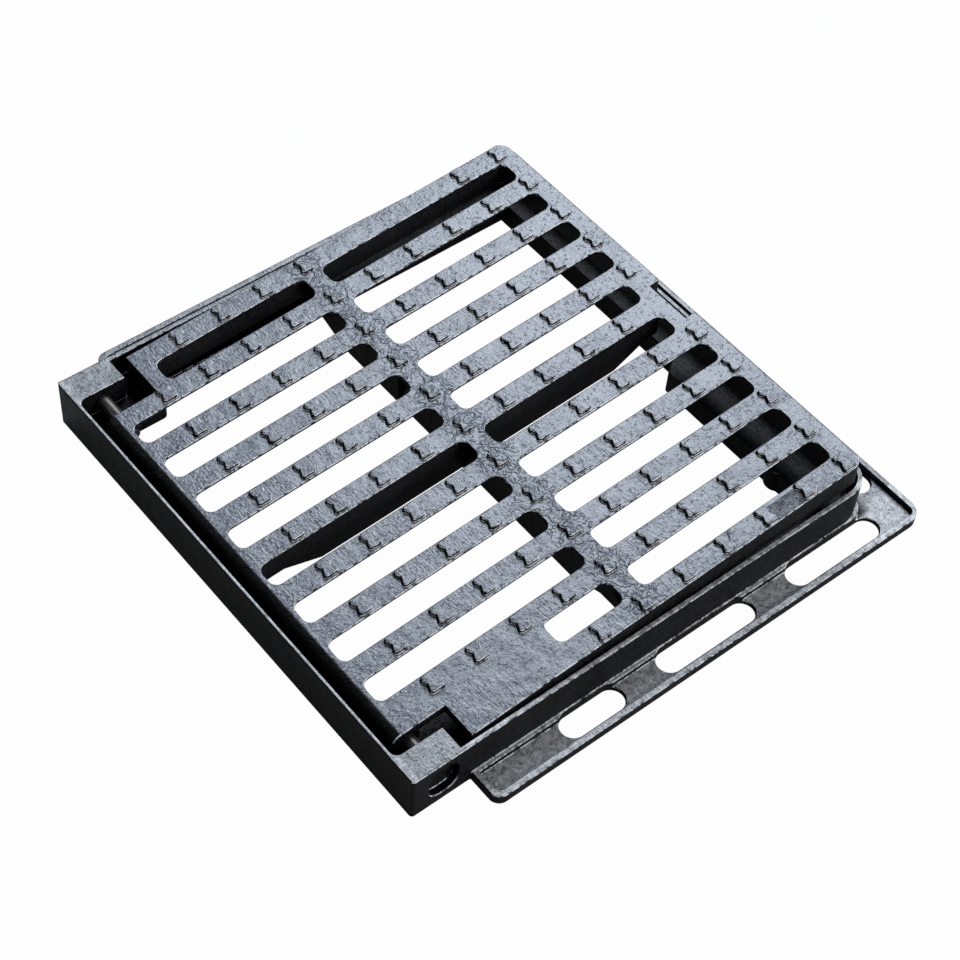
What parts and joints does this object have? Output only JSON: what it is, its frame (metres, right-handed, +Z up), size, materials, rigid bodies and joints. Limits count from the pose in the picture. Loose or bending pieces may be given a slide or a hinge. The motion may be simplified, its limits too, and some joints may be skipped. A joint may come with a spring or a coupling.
{
  "type": "drain grate",
  "caption": "Cast iron gully grate, hinged on two pins in a square flanged frame, with a studded top and long water slots.",
  "frame": {"origin": "middle of the whole footprint, on the underside of the frame", "axes": "+Z up, +Y along the hinge wall, +X from the hinge wall to the free side"},
  "size_m": [0.4296, 0.457, 0.0656],
  "materials": {
    "frame_iron": "black bitumen paint on sand casting",
    "grate_iron": "black bitumen paint on sand casting, satin",
    "pin_steel": "painted over turned steel"
  },
  "bodies": {
    "frame": {"frame": "frame_iron"},
    "grate": {"grate": "grate_iron", "hinge_pin_near": "pin_steel", "hinge_pin_far": "pin_steel"}
  },
  "joints": [
    {"name": "grate_hinge", "type": "hinge", "parent": "frame", "child": "grate", "pos_m": [-0.19325, -0.002, 0.0285], "axis": [0, -1, 0], "range_deg": [-3.6, 105]}
  ]
}
